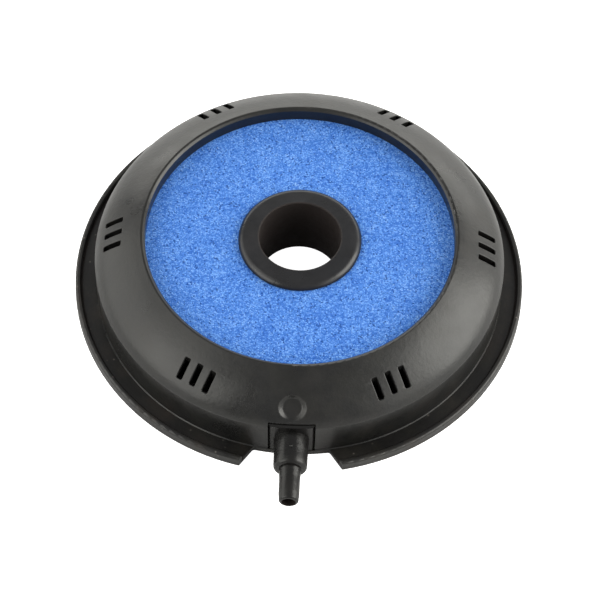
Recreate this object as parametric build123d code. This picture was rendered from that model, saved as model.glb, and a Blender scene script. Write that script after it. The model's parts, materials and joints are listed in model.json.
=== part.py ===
from build123d import *
import os
from math import acos, cos, pi, radians, sin, tan

# Round air stone disc. A black housing holds a flat porous ring over an air trough.
# Origin: centre of the middle hole, on the plane that the disc stands on.
# +Z is up, and the air inlet points along -Y. Millimetres throughout.

# ---- Base tray ----
BASE_R = 60.0            # outer edge of the flange
FLANGE_TOP = 1.6         # top of the flange, where the cover's skirt stands
LIP_TOP = 3.2            # top of the raised lip round the flange
LIP_IN_R = 58.4
LIP_ROUND = 0.7
LIP_DRAFT = 3.0          # lean of the lip's outer face, degrees
EDGE_BREAK = 0.3         # small chamfer on moulded edges
FOOT_RECESS = 0.5        # the middle of the underside stands clear by this much
FOOT_IN_R = 17.0
FOOT_OUT_R = 50.0
LOCATOR_R = 52.25        # ring that centres the cover's skirt
LOCATOR_T = 1.25
LOCATOR_GAP = 0.1        # clearance between that ring and the skirt
LOCATOR_TOP = 5.2
TROUGH_FLOOR = 2.0
TROUGH_IN_R = 15.8       # air trough, inner wall
TROUGH_OUT_R = 41.0      # air trough, outer wall
LEDGE_Z = 10.0           # ledges that carry the two flat seals
TUBE_BORE_R = 12.5       # middle tube, which takes the collar
TUBE_R = 14.0
TUBE_TOP = 17.0
RIM_IN_R = 42.8          # upstand that centres the stone
RIM_OUT_R = 44.2
RIM_TOP = 16.0

# ---- Notch in the flange, under the inlet ----
NOTCH_FLOOR_R = 54.4
NOTCH_IN_X = 9.9
NOTCH_IN_Y = 53.7
NOTCH_OUT_X = 13.2
NOTCH_OUT_Y = 58.4
NOTCH_ROUND = 0.8

# ---- Porous stone and its seals ----
STONE_IN_R = 14.3
STONE_OUT_R = 42.5
STONE_BOTTOM = 11.0
STONE_TOP = 18.0
STONE_EDGE = 0.4
SEAL_GAP = 0.1           # clearance at the sides of the flat seals

# ---- Top cover ----
LIFT_GAP = 0.05          # resting gap between pieces that lift apart
WALL = 1.8
CREST_R = 41.8           # highest line of the dome
CREST_Z = 22.04
CREST_ROUND = 0.7
BEVEL_SLOPE = 45.0       # bevel from the crest down to the bore, degrees
DOME_SLOPES = (23.1, 42.5, 66.3)   # surface slope at the crest, shoulder and edge, degrees
DOME_RADII = (35.0, 10.0, 0.8)     # radii of the arcs between those slopes and the skirt
SKIRT_DRAFT = 0.43       # degrees
FOOT_FLARE = 0.24        # bevel that widens the skirt's foot
FOOT_STEP = 0.15         # upright step under that bevel
COVER_BORE_R = 40.6
SLOT_GROUPS = 6
SLOTS_PER_GROUP = 3
SLOT_PITCH = 3.82
SLOT_W = 1.58
SLOT_IN_R = 46.8
SLOT_OUT_R = 51.35
SLOT_ROUND = 0.3
SLOT_CUT_Z = 12.0        # slots are cut straight up from here
DISH_AT_R = 50.7
DISH_R = 3.65
DISH_FLOOR_R = 2.4
DISH_DEPTH = 0.95
DISH_ROUND = 0.9         # where the dish's side meets its floor
DISH_RIM_ROUND = 0.5
WINDOW_HALF = 5.92       # opening in the skirt for the inlet plate
WINDOW_TOP = 13.2

# ---- Hub collar ----
COLLAR_BORE_R = 10.75
COLLAR_R = 12.4
COLLAR_FLANGE_R = 16.2
COLLAR_EDGE_Z = 18.4      # top of the flange's upright edge
COLLAR_ROUND = 2.0        # from that edge onto the flange's top
COLLAR_EDGE_LEAN = 20.0   # degrees short of upright where that round starts
COLLAR_SLOPE = 4.0        # fall of the flange's top, degrees
COLLAR_BORE_ROUND = 0.35
GROOVE_Z = 13.0
GROOVE_H = 1.1
GROOVE_R = 11.55
COLLAR_RING_R = 12.01
COLLAR_RING_T = 0.45

# ---- Air inlet ----
INLET_Z = 6.5            # height of the inlet's axis
AIR_BORE_R = 1.8
PLATE_HALF = 5.78
PLATE_TOP = 13.06
PLATE_FACE_R = 54.2
PLATE_BACK_Y = 51.0
PLATE_EDGE = 0.45
STEM_R = 4.2             # stem behind the plate, up to the socket
SOCKET_Y = 47.6          # mouth of the socket in the tray
SOCKET_ROOT_Y = 43.3     # where it meets the trough's wall
SOCKET_R = 5.6
SOCKET_BORE_R = 3.1
POCKET_R = 4.35          # pocket for the sealing ring
POCKET_DEPTH = 1.6
SPIGOT_R = 3.0
SPIGOT_END_Y = 40.4
INLET_RING_R = 3.62
INLET_RING_T = 0.6
ROOT_Y = 54.0            # nozzle, from the plate out to the tip
ROOT_FLARE = 0.12
LARGE_ROOT_R = 4.5
LARGE_R = 4.32
LARGE_LAND = (59.0, 61.0)
LARGE_END_R = 4.27
SHOULDER_Y = 62.75
SHOULDER_ROUND = 1.1
SMALL_ROOT_R = 2.85
SMALL_R = 2.65
SMALL_LAND = (65.6, 69.6)
TIP_R = 2.52
TIP_Y = 71.95
TIP_ROUND = 0.65
PIP_Y = 58.2             # gate mark on top of the nozzle
PIP_R = 0.45

# ---- Ballast ----
BALLAST_IN_R = 46.0
BALLAST_OUT_R = 50.4
BALLAST_H = 5.0
BALLAST_GAP_HALF = 13.0
BALLAST_EDGE = 0.6

RIM_ROUND = 0.2          # round on the outer rims of everything cut into a moulding

BOTTOM = (Align.CENTER, Align.CENTER, Align.MIN)
TOP = (Align.CENTER, Align.CENTER, Align.MAX)


def at(r, z):
    """A point of a turned section, at radius r and height z."""
    return Vector(r, 0, z)


def turned(edges):
    """The solid of revolution about Z of a closed outline drawn with at()."""
    return revolve(make_face(Wire(edges)), axis=Axis.Z)


def outline(points):
    """Straight edges that join the points in order."""
    return [Line(a, b).edge() for a, b in zip(points, points[1:])]


def closed(points):
    return outline(points + points[:1])


def ring(r_in, r_out, low, high, edge):
    """A flat ring with small chamfers on its four edges."""
    return turned(closed([
        at(r_in + edge, low), at(r_out - edge, low), at(r_out, low + edge),
        at(r_out, high - edge), at(r_out - edge, high), at(r_in + edge, high),
        at(r_in, high - edge), at(r_in, low + edge),
    ]))


def along_y(shape, y):
    """Turns a shape made along +Z about the Z axis to point along -Y, on the inlet's axis."""
    return Pos(0, -y, INLET_Z) * Rot(90, 0, 0) * shape


# ---- The dome: tangent arcs, so the surface has no crease ----
def dome_arcs():
    """Centre, radius and the two direction angles of each arc, from the crest outwards."""
    ends = DOME_SLOPES[1:] + (90.0 - SKIRT_DRAFT,)
    r, z = CREST_R, CREST_Z
    arcs = []
    for start, end, radius in zip(DOME_SLOPES, ends, DOME_RADII):
        a0, a1 = radians(90.0 - start), radians(90.0 - end)
        centre = (r - radius * cos(a0), z - radius * sin(a0))
        arcs.append((centre, radius, a0, a1))
        r, z = centre[0] + radius * cos(a1), centre[1] + radius * sin(a1)
    return arcs


def on_arc(centre, radius, angle):
    return at(centre[0] + radius * cos(angle), centre[1] + radius * sin(angle))


def arc_edge(centre, radius, a0, a1):
    middle = on_arc(centre, radius, (a0 + a1) / 2)
    return ThreePointArc(on_arc(centre, radius, a0), middle, on_arc(centre, radius, a1)).edge()


def angle_at(centre, radius, r):
    """Direction angle of the arc's point at radius r from the disc's axis."""
    return acos((r - centre[0]) / radius)


def cover_section():
    """Outline of the cover: skirt, dome, crest, bevel and inner rim, one wall thick."""
    upper, shoulder, edge = dome_arcs()
    seam = FLANGE_TOP + LIFT_GAP
    skirt_top = on_arc(edge[0], edge[1], edge[3])
    bevel_z = seam + FOOT_STEP + FOOT_FLARE
    foot_r = skirt_top.X + (skirt_top.Z - bevel_z) * tan(radians(SKIRT_DRAFT))
    foot = at(foot_r, bevel_z)
    # the small round on the crest is tangent to the dome and to the bevel
    crest_angle = upper[2]
    crest = (CREST_R - CREST_ROUND * cos(crest_angle), CREST_Z - CREST_ROUND * sin(crest_angle))
    bevel_angle = radians(90 + BEVEL_SLOPE)
    bevel_top = on_arc(crest, CREST_ROUND, bevel_angle)
    bevel_drop = (bevel_top.X - COVER_BORE_R) * tan(radians(BEVEL_SLOPE))
    # the inside follows the outside, one wall in
    rim_low = STONE_TOP + LIFT_GAP
    rim_r = COVER_BORE_R + WALL
    skirt_in_r = LOCATOR_R + LOCATOR_GAP
    upper_in = (upper[0], upper[1] - WALL, angle_at(upper[0], upper[1] - WALL, rim_r), upper[3])
    shoulder_end = angle_at(shoulder[0], shoulder[1] - WALL, skirt_in_r)
    shoulder_in = (shoulder[0], shoulder[1] - WALL, upper[3], shoulder_end)
    rim = [
        bevel_top, at(COVER_BORE_R, bevel_top.Z - bevel_drop), at(COVER_BORE_R, rim_low),
        at(rim_r, rim_low), on_arc(*upper_in[:3]),
    ]
    skirt = [
        on_arc(*shoulder_in[:2], shoulder_end), at(skirt_in_r, seam), at(foot_r + FOOT_FLARE, seam),
        at(foot_r + FOOT_FLARE, seam + FOOT_STEP), foot,
    ]
    return [
        Line(foot, skirt_top).edge(),
        arc_edge(*edge),
        arc_edge(*shoulder),
        arc_edge(*upper),
        arc_edge(crest, CREST_ROUND, crest_angle, bevel_angle),
        *outline(rim),
        arc_edge(*upper_in),
        arc_edge(*shoulder_in),
        *outline(skirt),
    ]


def slot_cutters():
    """Upright cutters for every group of parallel slots."""
    length = SLOT_OUT_R - SLOT_IN_R
    one = extrude(RectangleRounded(SLOT_W, length, SLOT_ROUND), CREST_Z)
    cutters = []
    for group in range(SLOT_GROUPS):
        turn = Rot(0, 0, (group + 0.5) * 360 / SLOT_GROUPS)
        for slot in range(SLOTS_PER_GROUP):
            across = (slot - (SLOTS_PER_GROUP - 1) / 2) * SLOT_PITCH
            cutters.append(turn * Pos(across, -(SLOT_IN_R + length / 2), SLOT_CUT_Z) * one)
    return cutters


def dish_cutter():
    """Shallow round dish in the dome, square to its surface, above the inlet."""
    centre, radius, _, _ = dome_arcs()[0]
    z = on_arc(centre, radius, angle_at(centre, radius, DISH_AT_R)).Z
    normal = Vector(0, -(DISH_AT_R - centre[0]), z - centre[1])
    above = DISH_DEPTH
    flare = (DISH_R - DISH_FLOOR_R) / DISH_DEPTH
    cone = Cone(DISH_FLOOR_R, DISH_R + above * flare, DISH_DEPTH + above, align=BOTTOM)
    bowl = fillet(cone.edges().sort_by(Axis.Z)[0], DISH_ROUND)
    return Plane(origin=(0, -DISH_AT_R, z), z_dir=normal) * Pos(0, 0, -DISH_DEPTH) * bowl


def on_outside(edge):
    """Whether the middle of an edge lies on the dome or on the skirt's outer face."""
    middle = edge @ 0.5
    r = (middle.X**2 + middle.Y**2) ** 0.5
    for centre, radius, _, end in dome_arcs():
        if r < centre[0] + radius * cos(end):
            out = ((r - centre[0]) ** 2 + (middle.Z - centre[1]) ** 2) ** 0.5
            return abs(out - radius) < RIM_ROUND
    return True


def cut_and_round(shape, cutter, is_rim, size=RIM_ROUND):
    """The shape less the cutter, with the new edges that is_rim picks rounded."""
    cut = shape - cutter
    return fillet([edge for edge in new_edges(shape, combined=cut) if is_rim(edge)], size)


def top_cover():
    window = Box(2 * WINDOW_HALF, 2 * (BASE_R - PLATE_BACK_Y), WINDOW_TOP, align=BOTTOM)
    cover = cut_and_round(turned(cover_section()), dish_cutter(), on_outside, DISH_RIM_ROUND)
    for cutter in (slot_cutters(), Pos(0, -BASE_R, 0) * window):
        cover = cut_and_round(cover, cutter, on_outside)
    return cover


def tray_section():
    """Outline of the tray: underside, flange and lip, locating ring, trough and middle tube."""
    lean = radians(LIP_DRAFT)
    # the round is tangent to the leaning face and to the flat top
    round_z = LIP_TOP - LIP_ROUND
    round_r = BASE_R - (round_z - EDGE_BREAK) * tan(lean) - LIP_ROUND / cos(lean)
    lip_round = ((round_r, round_z), LIP_ROUND, lean, radians(90))
    underside = [
        at(TUBE_BORE_R, 0), at(FOOT_IN_R, 0), at(FOOT_IN_R + FOOT_RECESS, FOOT_RECESS),
        at(FOOT_OUT_R, FOOT_RECESS), at(FOOT_OUT_R + FOOT_RECESS, 0),
        at(BASE_R - EDGE_BREAK, 0), at(BASE_R, EDGE_BREAK), on_arc(*lip_round[:3]),
    ]
    topside = [
        on_arc(*lip_round[:2], lip_round[3]), at(LIP_IN_R + EDGE_BREAK, LIP_TOP),
        at(LIP_IN_R, LIP_TOP - EDGE_BREAK), at(LIP_IN_R, FLANGE_TOP), at(LOCATOR_R, FLANGE_TOP),
        at(LOCATOR_R, LOCATOR_TOP - EDGE_BREAK), at(LOCATOR_R - EDGE_BREAK, LOCATOR_TOP),
        at(LOCATOR_R - LOCATOR_T, LOCATOR_TOP), at(LOCATOR_R - LOCATOR_T, FLANGE_TOP),
        at(RIM_OUT_R, FLANGE_TOP), at(RIM_OUT_R, RIM_TOP), at(RIM_IN_R, RIM_TOP),
        at(RIM_IN_R, LEDGE_Z), at(TROUGH_OUT_R, LEDGE_Z), at(TROUGH_OUT_R, TROUGH_FLOOR),
        at(TROUGH_IN_R, TROUGH_FLOOR), at(TROUGH_IN_R, LEDGE_Z), at(TUBE_R, LEDGE_Z),
        at(TUBE_R, TUBE_TOP), at(TUBE_BORE_R, TUBE_TOP), at(TUBE_BORE_R, 0),
    ]
    return outline(underside) + [arc_edge(*lip_round)] + outline(topside)


def flange_notch():
    """Cutter for the notch under the inlet: slanted sides, and a floor that follows the skirt."""
    run_x = NOTCH_OUT_X - NOTCH_IN_X
    run_y = NOTCH_OUT_Y - NOTCH_IN_Y
    out = 1 + (BASE_R + 2 - NOTCH_OUT_Y) / run_y
    back = -0.5
    right = [(NOTCH_IN_X + k * run_x, -(NOTCH_IN_Y + k * run_y)) for k in (back, out)]
    left = [(-x, y) for x, y in reversed(right)]
    wedge = extrude(make_face(Polyline(*right, *left, close=True)), 2 * LIP_TOP)
    cutter = Pos(0, 0, -LIP_TOP / 2) * (wedge - Cylinder(NOTCH_FLOOR_R, 4 * LIP_TOP))
    corners = cutter.edges().filter_by(Axis.Z).sort_by(Axis.Y)[-2:]
    return fillet(corners, NOTCH_ROUND)


def on_notch_side(edge):
    """Whether an edge of the notch is on its slanted sides, above the flange's lower half."""
    middle = edge @ 0.5
    return abs(middle.X) > NOTCH_IN_X and middle.Z > FLANGE_TOP / 2 + RIM_ROUND


def base_tray():
    tray = turned(tray_section())
    gap = Pos(0, -LOCATOR_R, FLANGE_TOP) * Box(
        2 * (WINDOW_HALF + 0.6), 4 * LOCATOR_T, LOCATOR_TOP, align=BOTTOM
    )
    tray -= gap
    tray += along_y(Cylinder(SOCKET_R, SOCKET_Y - SOCKET_ROOT_Y, align=TOP), SOCKET_Y)
    tray -= along_y(Cylinder(SOCKET_BORE_R, 2 * POCKET_R, align=TOP), SOCKET_Y)
    tray -= along_y(Cylinder(POCKET_R, POCKET_DEPTH, align=TOP), SOCKET_Y)
    return cut_and_round(tray, flange_notch(), on_notch_side)


def air_stone():
    return ring(STONE_IN_R, STONE_OUT_R, STONE_BOTTOM, STONE_TOP, STONE_EDGE)


def outer_seal():
    return ring(TROUGH_OUT_R + SEAL_GAP, RIM_IN_R - SEAL_GAP, LEDGE_Z, STONE_BOTTOM, SEAL_GAP)


def inner_seal():
    return ring(TUBE_R + SEAL_GAP, TROUGH_IN_R - SEAL_GAP, LEDGE_Z, STONE_BOTTOM, SEAL_GAP)


def hub_collar():
    """Flanged sleeve through the middle, with a groove for its ring and a slightly domed flange."""
    under = STONE_TOP + LIFT_GAP
    low, high = GROOVE_Z - GROOVE_H / 2, GROOVE_Z + GROOVE_H / 2
    lean, slope = radians(COLLAR_EDGE_LEAN), radians(COLLAR_SLOPE)
    centre = (COLLAR_FLANGE_R - COLLAR_ROUND * cos(lean), COLLAR_EDGE_Z - COLLAR_ROUND * sin(lean))
    flange_round = (centre, COLLAR_ROUND, lean, pi / 2 - slope)
    top = on_arc(centre, COLLAR_ROUND, pi / 2 - slope)
    # the mouth's round is tangent to the sloping top and to the bore
    mouth_r = COLLAR_BORE_R + COLLAR_BORE_ROUND
    mouth_z = top.Z + (top.X - mouth_r) * tan(slope) - COLLAR_BORE_ROUND / cos(slope)
    mouth_round = ((mouth_r, mouth_z), COLLAR_BORE_ROUND, pi / 2 - slope, pi)
    sleeve = [
        on_arc(*mouth_round[:2], pi), at(COLLAR_BORE_R, 0),
        at(COLLAR_R - EDGE_BREAK, 0), at(COLLAR_R, EDGE_BREAK),
        at(COLLAR_R, low), at(GROOVE_R, low), at(GROOVE_R, high), at(COLLAR_R, high),
        at(COLLAR_R, under), at(COLLAR_FLANGE_R - EDGE_BREAK, under),
        at(COLLAR_FLANGE_R, under + EDGE_BREAK / 2), at(COLLAR_FLANGE_R, COLLAR_EDGE_Z),
    ]
    flange_top = Line(top, on_arc(*mouth_round[:3])).edge()
    return turned(outline(sleeve) + [arc_edge(*flange_round), flange_top, arc_edge(*mouth_round)])


def collar_o_ring():
    return Pos(0, 0, GROOVE_Z) * Torus(COLLAR_RING_R, COLLAR_RING_T)


def inlet_o_ring():
    return along_y(Torus(INLET_RING_R, INLET_RING_T), SOCKET_Y - POCKET_DEPTH / 2)


def nozzle():
    """The stepped nozzle, its stem and its spigot: one turned outline along the inlet's axis."""
    shoulder_r = LARGE_END_R - SHOULDER_ROUND
    bend = 1 - cos(radians(45))
    root = [
        at(0, -SPIGOT_END_Y), at(SPIGOT_R - EDGE_BREAK, -SPIGOT_END_Y),
        at(SPIGOT_R, -SPIGOT_END_Y - EDGE_BREAK), at(SPIGOT_R, -SOCKET_Y - LIFT_GAP),
        at(STEM_R, -SOCKET_Y - LIFT_GAP), at(STEM_R, -PLATE_BACK_Y), at(LARGE_ROOT_R, -PLATE_BACK_Y),
        at(LARGE_ROOT_R + ROOT_FLARE, -PLATE_BACK_Y), at(LARGE_ROOT_R + ROOT_FLARE, -ROOT_Y),
    ]
    flare_end = at(LARGE_ROOT_R, -ROOT_Y - ROOT_FLARE)
    flare_mid = at(LARGE_ROOT_R + ROOT_FLARE * bend, -ROOT_Y - ROOT_FLARE * bend)
    large = [
        flare_end, at(LARGE_R, -LARGE_LAND[0]), at(LARGE_R, -LARGE_LAND[1]),
        at(LARGE_END_R, -SHOULDER_Y + SHOULDER_ROUND),
    ]
    shoulder_end = at(shoulder_r, -SHOULDER_Y)
    shoulder_mid = at(
        shoulder_r + SHOULDER_ROUND * (1 - bend), -SHOULDER_Y + SHOULDER_ROUND * bend
    )
    small = [
        shoulder_end, at(SMALL_ROOT_R, -SHOULDER_Y), at(SMALL_R, -SMALL_LAND[0]),
        at(SMALL_R, -SMALL_LAND[1]), at(TIP_R, -TIP_Y + TIP_ROUND),
    ]
    tip_end = at(TIP_R - TIP_ROUND, -TIP_Y)
    tip_mid = at(TIP_R - TIP_ROUND * bend, -TIP_Y + TIP_ROUND * bend)
    edges = (
        outline(root)
        + [ThreePointArc(root[-1], flare_mid, flare_end).edge()]
        + outline(large)
        + [ThreePointArc(large[-1], shoulder_mid, shoulder_end).edge()]
        + outline(small)
        + [ThreePointArc(small[-1], tip_mid, tip_end).edge()]
        + outline([tip_end, at(0, -TIP_Y), at(0, -SPIGOT_END_Y)])
    )
    return Pos(0, 0, INLET_Z) * Rot(-90, 0, 0) * turned(edges)


def inlet_plate():
    """Plate that fills the cover's window, with a bevelled edge round its face."""
    low = FLANGE_TOP
    depth = PLATE_FACE_R - PLATE_BACK_Y
    block = Pos(0, -PLATE_BACK_Y, low) * Box(
        2 * PLATE_HALF, depth, PLATE_TOP - low, align=(Align.CENTER, Align.MAX, Align.MIN)
    )
    plate = block & Cylinder(PLATE_FACE_R, 2 * BASE_R)
    face = plate.faces().sort_by(Axis.Y)[0]
    rims = face.edges().sort_by(Axis.Z)[1:]
    return chamfer(rims, PLATE_EDGE)


def air_inlet():
    inlet = inlet_plate() + nozzle()
    inlet += Pos(0, -PIP_Y, INLET_Z + LARGE_R) * Sphere(PIP_R)
    bore = Cylinder(AIR_BORE_R, 2 * TIP_Y)
    return inlet - along_y(bore, BASE_R)


def ballast_ring():
    full = ring(BALLAST_IN_R, BALLAST_OUT_R, FLANGE_TOP, FLANGE_TOP + BALLAST_H, BALLAST_EDGE)
    gap = Pos(0, -BALLAST_OUT_R, 0) * Box(2 * BALLAST_GAP_HALF, BALLAST_IN_R, BASE_R)
    return full - gap


PARTS = {
    "base_tray": base_tray,
    "top_cover": top_cover,
    "air_stone": air_stone,
    "hub_collar": hub_collar,
    "air_inlet": air_inlet,
    "outer_seal": outer_seal,
    "inner_seal": inner_seal,
    "inlet_o_ring": inlet_o_ring,
    "collar_o_ring": collar_o_ring,
    "ballast_ring": ballast_ring,
}

os.makedirs("parts", exist_ok=True)
for name, make in PARTS.items():
    export_step(make(), f"parts/{name}.step")
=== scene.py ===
import bpy
import json
from math import cos, pi, radians, sin
from mathutils import Matrix, Vector, noise


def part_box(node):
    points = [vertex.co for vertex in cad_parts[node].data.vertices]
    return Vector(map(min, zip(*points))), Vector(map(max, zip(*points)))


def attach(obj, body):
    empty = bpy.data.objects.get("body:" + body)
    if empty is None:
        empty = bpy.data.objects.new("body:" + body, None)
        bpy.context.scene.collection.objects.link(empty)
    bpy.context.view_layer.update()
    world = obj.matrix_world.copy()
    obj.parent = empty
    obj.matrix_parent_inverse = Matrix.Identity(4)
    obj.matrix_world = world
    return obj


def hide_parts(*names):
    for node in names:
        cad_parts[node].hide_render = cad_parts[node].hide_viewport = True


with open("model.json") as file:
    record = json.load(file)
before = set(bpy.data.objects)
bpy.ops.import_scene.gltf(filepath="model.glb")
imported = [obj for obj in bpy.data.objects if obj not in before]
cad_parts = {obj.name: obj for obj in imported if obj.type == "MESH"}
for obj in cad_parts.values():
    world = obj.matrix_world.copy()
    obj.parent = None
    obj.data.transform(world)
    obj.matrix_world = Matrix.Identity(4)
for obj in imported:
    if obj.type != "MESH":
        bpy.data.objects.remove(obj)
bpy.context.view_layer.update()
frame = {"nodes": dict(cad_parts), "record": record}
nodes = frame["nodes"]

# ---- Camera ----
CAMERA_ELEVATION = 55.49     # degrees above the table
CAMERA_TURN = 1.0            # degrees round the disc from straight ahead
CAMERA_ROLL = 1.38           # degrees
CAMERA_DISTANCE = 0.6042     # from the middle of the disc's underside
CAMERA_LENS = 134.57         # millimetres, on a sensor this wide
CAMERA_SENSOR = 36.0
CAMERA_CLIP = (0.01, 20.0)
CAMERA_SHIFT = (0.0017, -0.0348)

# ---- Studio: name, azimuth, elevation (degrees), distance, width, height, power ----
LIGHTS = (
    ("softbox_right", 2, 27, 1.0, 0.75, 0.85, 13.2),
    ("softbox_front_right", 326, 22, 1.0, 0.55, 0.7, 2.4),
    ("softbox_back", 84, 15, 1.2, 2.5, 0.5, 12.0),
    ("softbox_left", 170, 22, 1.0, 0.9, 0.7, 4.2),
    ("softbox_front_left", 213, 28, 1.0, 0.65, 0.8, 5.4),
    ("softbox_left_high", 182, 57, 1.0, 0.5, 0.4, 1.1),
)
LIGHT_COLOUR = (1.0, 0.99, 0.93)    # very slightly warm
WORLD_STRENGTH = 0.52
FLOOR_HALF = 3.0
FLOOR_GAP = 0.0001           # keeps the floor just clear of the disc's underside
FLOOR_GLOW = 1.0             # seen by the camera only, so that the floor stays pale

# ---- Stone ----
STONE_SEGMENTS = 720         # round the ring
STONE_TOP_RINGS = 94         # steps along each side of the ring's section
STONE_SIDE_RINGS = 14
STONE_BOTTOM_RINGS = 16
STONE_EDGE = 0.0004          # width of the bevel along its edges
GRAINS = 2700.0              # grains in a metre
GRAIN = 0.00085              # size of a lump of grains
PIT = 0.00011                # how deep the surface is between lumps
WANDER = 3.2                 # lumps across a slow rise or fall of the surface
WANDER_DEPTH = 0.35          # depth of that, in pits

# ---- Plastic ----
SPECKS = 430.0               # cells in a metre, of which a few hold a speck of dust
DUST_COLOUR = (0.30, 0.27, 0.24)
# painted shade: dark brown laid into bores and groove corners, where shade falls
PAINTED_SHADE_COLOUR = (0.0080, 0.0040, 0.0032)
mounts = {mount["name"]: mount for mount in frame["record"]["mounts"]}
BORE_R = mounts["centre_bore"]["dims"]["r_mm"] / 1000
NOZZLE_HEIGHT = mounts["airline_nozzle"]["pos_m"][2]
AIR_BORE_R = 0.0018          # the nozzle's
LIP_WALL_R = 0.0584          # inner wall of the lip round the flange


def make_camera():
    camera = bpy.data.cameras.new("camera")
    camera.lens = CAMERA_LENS
    camera.sensor_width = CAMERA_SENSOR
    camera.shift_x, camera.shift_y = CAMERA_SHIFT
    camera.clip_start, camera.clip_end = CAMERA_CLIP
    eye = bpy.data.objects.new("camera", camera)
    bpy.context.scene.collection.objects.link(eye)
    turn, rise = radians(CAMERA_TURN), radians(CAMERA_ELEVATION)
    back = Vector((sin(turn) * cos(rise), -cos(turn) * cos(rise), sin(rise)))
    aim = (-back).to_track_quat("-Z", "Y").to_matrix().to_4x4()
    roll = Matrix.Rotation(radians(CAMERA_ROLL), 4, "Z")
    eye.matrix_world = Matrix.Translation(back * CAMERA_DISTANCE) @ aim @ roll
    bpy.context.scene.camera = eye


def softbox(name, azimuth, elevation, distance, width, height, power):
    """Adds an area light that looks at the middle of the disc."""
    light = bpy.data.lights.new(name, "AREA")
    light.shape = "RECTANGLE"
    light.size, light.size_y = width, height
    light.energy = power
    light.color = LIGHT_COLOUR
    lamp = bpy.data.objects.new(name, light)
    bpy.context.scene.collection.objects.link(lamp)
    turn, rise = radians(azimuth), radians(elevation)
    place = Vector((cos(turn) * cos(rise), sin(turn) * cos(rise), sin(rise))) * distance
    lamp.location = place
    lamp.rotation_euler = (-place).to_track_quat("-Z", "Y").to_euler()


def make_world(strength):
    world = bpy.data.worlds.new("studio")
    bpy.context.scene.world = world
    world.use_nodes = True
    background = world.node_tree.nodes["Background"]
    background.inputs["Color"].default_value = (1, 1, 1, 1)
    background.inputs["Strength"].default_value = strength


def make_floor():
    mesh = bpy.data.meshes.new("floor")
    s = FLOOR_HALF
    mesh.from_pydata([(-s, -s, 0), (s, -s, 0), (s, s, 0), (-s, s, 0)], [], [(0, 1, 2, 3)])
    floor = bpy.data.objects.new("floor", mesh)
    floor.location.z = -FLOOR_GAP
    bpy.context.scene.collection.objects.link(floor)
    material = bpy.data.materials.new("floor")
    material.use_nodes = True
    shader = material.node_tree.nodes["Principled BSDF"]
    shader.inputs["Base Color"].default_value = (0.85, 0.85, 0.85, 1)
    shader.inputs["Roughness"].default_value = 0.8
    shader.inputs["Specular IOR Level"].default_value = 0.0
    shader.inputs["Emission Color"].default_value = (1, 1, 1, 1)
    tree = material.node_tree
    glow = tree.nodes.new("ShaderNodeMath")
    glow.operation = "MULTIPLY"
    glow.inputs[1].default_value = FLOOR_GLOW
    seen = tree.nodes.new("ShaderNodeLightPath").outputs["Is Camera Ray"]
    tree.links.new(seen, glow.inputs[0])
    tree.links.new(glow.outputs[0], shader.inputs["Emission Strength"])
    mesh.materials.append(material)


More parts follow.
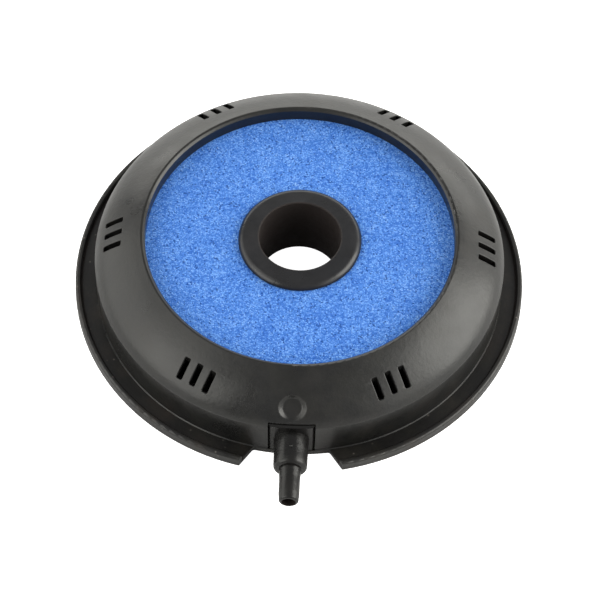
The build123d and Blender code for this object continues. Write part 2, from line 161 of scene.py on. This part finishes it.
class Paint:
    """A procedural material built up node by node, in the object's own metres."""

    def __init__(self, name):
        self.material = bpy.data.materials.new(name)
        self.material.use_nodes = True
        self.tree = self.material.node_tree
        self.shader = self.tree.nodes["Principled BSDF"]
        self.place = self.tree.nodes.new("ShaderNodeTexCoord").outputs["Object"]

    def link(self, source, target):
        self.tree.links.new(source, target)

    def feed(self, socket, value):
        """Sets a socket to a number, or links another node's output to it."""
        if isinstance(value, bpy.types.NodeSocket):
            self.link(value, socket)
        else:
            socket.default_value = value

    def noise(self, scale, detail=2.0, rough=0.5, at=None):
        node = self.tree.nodes.new("ShaderNodeTexNoise")
        self.feed(node.inputs["Vector"], at or self.place)
        node.inputs["Scale"].default_value = scale
        node.inputs["Detail"].default_value = detail
        node.inputs["Roughness"].default_value = rough
        return node.outputs["Fac"]

    def cells(self, scale, output="Distance"):
        """Scattered cells, each with its own Color, and the Distance from its middle."""
        node = self.tree.nodes.new("ShaderNodeTexVoronoi")
        self.feed(node.inputs["Vector"], self.place)
        node.inputs["Scale"].default_value = scale
        return node.outputs[output]

    def math(self, kind, a, b=0.0, c=0.0, clamp=False):
        node = self.tree.nodes.new("ShaderNodeMath")
        node.operation = kind
        node.use_clamp = clamp
        for socket, value in zip(node.inputs, (a, b, c)):
            self.feed(socket, value)
        return node.outputs[0]

    def total(self, *values):
        """Adds the values up, and holds the sum within 0 to 1."""
        result = values[0]
        for value in values[1:]:
            result = self.math("ADD", result, value, clamp=True)
        return result

    def spread(self, value, low, high, to_low=0.0, to_high=1.0):
        """Maps low..high to to_low..to_high, and holds it there."""
        node = self.tree.nodes.new("ShaderNodeMapRange")
        self.feed(node.inputs["Value"], value)
        limits = {"From Min": low, "From Max": high, "To Min": to_low, "To Max": to_high}
        for socket, number in limits.items():
            node.inputs[socket].default_value = number
        return node.outputs["Result"]

    def stops(self, value, *colours):
        """A colour ramp: (position, (r, g, b)) pairs."""
        node = self.tree.nodes.new("ShaderNodeValToRGB")
        self.feed(node.inputs["Fac"], value)
        ramp = node.color_ramp
        while len(ramp.elements) < len(colours):
            ramp.elements.new(0.5)
        for stop, (position, colour) in zip(ramp.elements, colours):
            stop.position = position
            stop.color = (*colour, 1)
        return node.outputs["Color"]

    def blend(self, fac, a, b):
        """Mixes two colours, b over a."""
        node = self.tree.nodes.new("ShaderNodeMix")
        node.data_type = "RGBA"
        self.feed(node.inputs[0], fac)
        for socket, value in ((node.inputs[6], a), (node.inputs[7], b)):
            self.feed(socket, value if isinstance(value, bpy.types.NodeSocket) else (*value, 1))
        return node.outputs[2]

    def stretched(self, scale):
        node = self.tree.nodes.new("ShaderNodeMapping")
        self.link(self.place, node.inputs["Vector"])
        node.inputs["Scale"].default_value = scale
        return node.outputs["Vector"]

    def locate(self):
        """Keeps x, y, z and the distance r from the Z axis, for patterns that follow the disc."""
        apart = self.tree.nodes.new("ShaderNodeSeparateXYZ")
        self.link(self.place, apart.inputs[0])
        self.x, self.y, self.z = apart.outputs
        self.r = self.length(self.x, self.y)

    def length(self, a, b):
        squares = self.math("MULTIPLY", a, a), self.math("MULTIPLY", b, b)
        return self.math("SQRT", self.math("ADD", *squares))

    def joined(self, x, y, z):
        node = self.tree.nodes.new("ShaderNodeCombineXYZ")
        for socket, value in zip(node.inputs, (x, y, z)):
            self.feed(socket, value)
        return node.outputs[0]

    def bump(self, *layers):
        """Stacks (height, distance in metres, strength) layers."""
        normal = None
        for height, distance, strength in layers:
            node = self.tree.nodes.new("ShaderNodeBump")
            node.inputs["Strength"].default_value = strength
            node.inputs["Distance"].default_value = distance
            self.link(height, node.inputs["Height"])
            if normal:
                self.link(normal, node.inputs["Normal"])
            normal = node.outputs["Normal"]
        self.link(normal, self.shader.inputs["Normal"])


def settled(p, dust):
    """Masks for the stains, haze and specks of dust on the plastic, with more of them low down."""
    low = p.spread(p.z, 0.002, 0.014, 1.0, 0.35)
    stain = p.math("MULTIPLY", p.spread(p.noise(75, 5, 0.65), 0.50, 0.68, 0.0, dust), low)
    haze = p.spread(p.noise(95, 7, 0.72), 0.44, 0.60, 0.0, 0.3 * dust)
    # a few cells have a speck at their middle
    pick = p.math("MULTIPLY", p.cells(SPECKS, output="Color"), low)
    lone = p.math("GREATER_THAN", pick, 1.0 - 0.55 * dust)
    speck = p.math("MULTIPLY", p.spread(p.cells(SPECKS), 0.05, 0.14, 1.0, 0.0), lone)
    return stain, haze, speck


def moulded_skin(p):
    """Bump of moulded plastic: grain, skin, slow waves, and flow marks that run round the disc."""
    # the flow marks' noise changes fast with the radius only
    flow = p.noise(1.0, 2, 0.5, at=p.joined(
        p.math("MULTIPLY", p.r, 900), p.math("MULTIPLY", p.x, 60), p.math("MULTIPLY", p.y, 60)
    ))
    p.bump(
        (p.noise(2600, 3, 0.6), 0.00002, 0.35), (p.noise(950, 3, 0.6), 0.00008, 0.60),
        (p.noise(140, 2, 0.5), 0.00020, 0.28), (flow, 0.00002, 0.4),
    )


def tinted(shade, red, green, blue):
    return shade[0] * red, shade[1] * green, shade[2] * blue


def black_plastic(name, shade, rough, dust, shade_mask_maker=None, gloss=0.4):
    """Moulded black plastic, mottled and a little scuffed. dust runs from 0 to 1.

    The fifth argument makes a mask of where painted shade sits, in hollows where shade falls: dark brown
    and matt. gloss is the specular level.
    """
    p = Paint(name)
    p.locate()
    mottle = p.noise(150, 4, 0.65)
    stain, haze, speck = settled(p, dust)
    base = p.blend(p.spread(mottle, 0.35, 0.68), shade, tinted(shade, 1.5, 1.5, 1.5))
    base = p.blend(stain, base, tinted(shade, 2.6, 1.9, 1.5))
    base = p.blend(haze, base, tinted(shade, 3.2, 3.0, 2.1))
    base = p.blend(p.math("MULTIPLY", speck, 0.3), base, DUST_COLOUR)
    scuff = p.noise(1.0, 2, 0.5, at=p.stretched((260, 3200, 900)))
    rough_map = p.total(
        p.spread(mottle, 0.3, 0.7, rough - 0.05, rough + 0.05),
        p.spread(p.noise(34, 3, 0.55), 0.35, 0.65, -0.03, 0.05),
        p.math("MULTIPLY", stain, 0.08),
        p.math("MULTIPLY", haze, 0.07),
        p.spread(scuff, 0.68, 0.75, 0.0, 0.03),
        p.math("MULTIPLY", speck, 0.3),
    )
    # painted shade: the masked hollows are darkened to dark brown and made matt
    if shade_mask_maker:
        painted_shade = shade_mask_maker(p)
        base = p.blend(painted_shade, base, PAINTED_SHADE_COLOUR)
        rough_map = p.total(rough_map, p.math("MULTIPLY", painted_shade, 0.45))
    p.link(base, p.shader.inputs["Base Color"])
    p.link(rough_map, p.shader.inputs["Roughness"])
    p.shader.inputs["Specular IOR Level"].default_value = gloss
    moulded_skin(p)
    return p.material


def in_bore(p):
    """Painted shade on the collar's bore, below its mouth."""
    inside = p.spread(p.r, BORE_R + 0.0002, BORE_R + 0.00045, 1.0, 0.0)
    return p.math("MULTIPLY", inside, p.spread(p.noise(420, 4, 0.6), 0.25, 0.6, 0.75, 1.0))


def in_air_bore(p):
    """Painted shade inside the nozzle's mouth."""
    off = p.length(p.x, p.math("SUBTRACT", p.z, NOZZLE_HEIGHT))
    return p.spread(off, AIR_BORE_R + 0.00002, AIR_BORE_R + 0.00006, 1.0, 0.0)


def in_lip_corner(p):
    """Painted shade in the corner between the flange and its raised lip."""
    beside = p.spread(p.r, LIP_WALL_R - 0.0007, LIP_WALL_R - 0.0002, 0.0, 1.0)
    on_wall = p.spread(p.r, LIP_WALL_R, LIP_WALL_R + 0.0002, 1.0, 0.0)
    under = p.spread(p.z, 0.0022, 0.0029, 1.0, 0.0)
    return p.math("MULTIPLY", p.math("MULTIPLY", beside, on_wall), under)


def stone_material():
    """Sintered blue grains, each with its own tone; painted shade darkens the gaps between them and
    fills a few cells as open pores.
    """
    p = Paint("sintered_stone")
    apart = p.tree.nodes.new("ShaderNodeSeparateColor")
    p.link(p.cells(GRAINS, output="Color"), apart.inputs[0])
    near = p.cells(GRAINS)
    cloud = p.noise(240, 3, 0.6)
    tone = p.math("ADD", p.math("MULTIPLY", apart.outputs[0], 0.62), p.math("MULTIPLY", cloud, 0.42))
    grain = p.stops(
        tone, (0.14, (0.018, 0.098, 0.42)), (0.38, (0.055, 0.176, 0.56)),
        (0.62, (0.104, 0.272, 0.68)), (0.84, (0.180, 0.37, 0.76)), (0.98, (0.335, 0.53, 0.83)),
    )
    violet = p.spread(apart.outputs[2], 0.0, 1.0, 0.0, 0.18)
    grain = p.blend(violet, grain, (0.085, 0.19, 0.60))
    # painted shade in the gaps between grains, where the bump dips
    gap_shade = p.spread(near, 0.35, 0.65, 0.0, 0.5)
    base = p.blend(gap_shade, grain, (0.014, 0.071, 0.33))
    # painted shade: a few cells are filled dark as open pores
    pore_shade = p.math("GREATER_THAN", apart.outputs[1], 0.94)
    base = p.blend(p.math("MULTIPLY", pore_shade, 0.75), base, (0.003, 0.03, 0.17))
    p.link(base, p.shader.inputs["Base Color"])
    p.shader.inputs["Roughness"].default_value = 0.85
    p.shader.inputs["Specular IOR Level"].default_value = 0.15
    height = p.spread(near, 0.0, 0.7, 1.0, 0.0)
    p.bump((height, 0.00010, 0.7), (p.noise(5600, 2, 0.6), 0.00003, 0.5))
    return p.material


def rubber(name, colour, rough):
    """Soft rubber with a slightly uneven skin."""
    p = Paint(name)
    tone = p.noise(300, 3, 0.6)
    dark = tuple(c * 0.8 for c in colour)
    p.link(p.blend(p.spread(tone, 0.35, 0.65), dark, colour), p.shader.inputs["Base Color"])
    p.link(p.spread(p.noise(700, 2), 0.3, 0.7, rough - 0.08, rough + 0.08), p.shader.inputs["Roughness"])
    p.bump((p.noise(2400, 2), 0.00002, 0.4), (tone, 0.00006, 0.3))
    return p.material


def turned_steel():
    """Steel ring turned on a lathe: fine circles, a little stain."""
    p = Paint("turned_steel")
    p.locate()
    lathe = p.noise(1.0, 3, 0.7, at=p.joined(
        p.math("MULTIPLY", p.r, 5200), p.math("MULTIPLY", p.z, 5200), 0.0
    ))
    stain = p.noise(120, 4, 0.6)
    base = p.blend(p.spread(stain, 0.45, 0.75, 0.0, 0.7), (0.56, 0.56, 0.57), (0.36, 0.33, 0.29))
    p.link(base, p.shader.inputs["Base Color"])
    p.shader.inputs["Metallic"].default_value = 1.0
    p.link(p.spread(stain, 0.3, 0.7, 0.24, 0.42), p.shader.inputs["Roughness"])
    p.bump((lathe, 0.00002, 0.5), (stain, 0.00004, 0.2))
    return p.material


# ---- The stone: a ring of grains, pitted on every face ----

def stone_profile(low, high, r_in, r_out):
    """Points round the ring's section: over the top from the middle, down, and back below."""
    e = STONE_EDGE
    corners = (
        (r_in, low + e), (r_in, high - e), (r_in + e, high), (r_out - e, high),
        (r_out, high - e), (r_out, low + e), (r_out - e, low), (r_in + e, low),
    )
    steps = (
        STONE_SIDE_RINGS, 2, STONE_TOP_RINGS, 2, STONE_SIDE_RINGS, 1, STONE_BOTTOM_RINGS, 1,
    )
    points = []
    for a, b, n in zip(corners, corners[1:] + corners[:1], steps):
        points += [(a[0] + (b[0] - a[0]) * k / n, a[1] + (b[1] - a[1]) * k / n) for k in range(n)]
    return points


def inward(points, k):
    """Unit direction into the section at point k."""
    (r0, z0), (r1, z1) = points[k - 1], points[(k + 1) % len(points)]
    run = Vector((r1 - r0, z1 - z0)).normalized()
    return run.y, -run.x


def pit_depth(spot):
    """How far the surface lies inside the plain ring: more between lumps, with a slow wander."""
    lump = noise.voronoi(spot / GRAIN)[0][0]
    wander = noise.noise(spot / (WANDER * GRAIN))
    return max(PIT * min(lump, 1.0) + WANDER_DEPTH * PIT * (wander + 0.5), 0.0)


def make_stone():
    low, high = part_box("air_stone")
    r_out = high.x
    r_in = min(Vector((v.co.x, v.co.y)).length for v in nodes["air_stone"].data.vertices)
    points = stone_profile(low.z, high.z, r_in, r_out)
    count = len(points)
    verts, faces = [], []
    for segment in range(STONE_SEGMENTS):
        turn = 2 * pi * segment / STONE_SEGMENTS
        east, north = cos(turn), sin(turn)
        for k, (r, z) in enumerate(points):
            in_r, in_z = inward(points, k)
            deep = pit_depth(Vector((r * east, r * north, z)))
            r_pitted = r + in_r * deep
            verts.append((r_pitted * east, r_pitted * north, z + in_z * deep))
    for segment in range(STONE_SEGMENTS):
        here, there = segment * count, (segment + 1) % STONE_SEGMENTS * count
        for k in range(count):
            m = (k + 1) % count
            faces.append((here + k, here + m, there + m, there + k))
    mesh = bpy.data.meshes.new("stone_ring")
    mesh.from_pydata(verts, [], faces)
    mesh.shade_smooth()
    mesh.materials.append(stone_material())
    stone = bpy.data.objects.new("stone_ring", mesh)
    bpy.context.scene.collection.objects.link(stone)
    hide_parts("air_stone")
    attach(stone, "base")


def dress(name, material):
    """Gives a CAD node its material."""
    mesh = nodes[name].data
    mesh.materials.clear()
    mesh.materials.append(material)


bpy.context.scene.view_settings.view_transform = "Standard"
make_camera()
make_world(WORLD_STRENGTH)
make_floor()
for spec in LIGHTS:
    softbox(*spec)

make_stone()
dress("base_tray", black_plastic("black_tray", (0.0048, 0.0045, 0.0043), 0.35, 1.0, in_lip_corner))
dress("top_cover", black_plastic("black_cover", (0.0058, 0.0058, 0.0057), 0.31, 0.5))
dress("hub_collar", black_plastic("black_collar", (0.0066, 0.0067, 0.0080), 0.30, 0.3, in_bore))
dress("air_inlet", black_plastic("black_inlet", (0.0044, 0.0042, 0.0041), 0.27, 0.2, in_air_bore, 0.31))
silicone = rubber("grey_silicone", (0.30, 0.31, 0.32), 0.5)
nitrile = rubber("black_nitrile", (0.018, 0.018, 0.018), 0.42)
for name in ("outer_seal", "inner_seal"):
    dress(name, silicone)
for name in ("inlet_o_ring", "collar_o_ring"):
    dress(name, nitrile)
dress("ballast_ring", turned_steel())
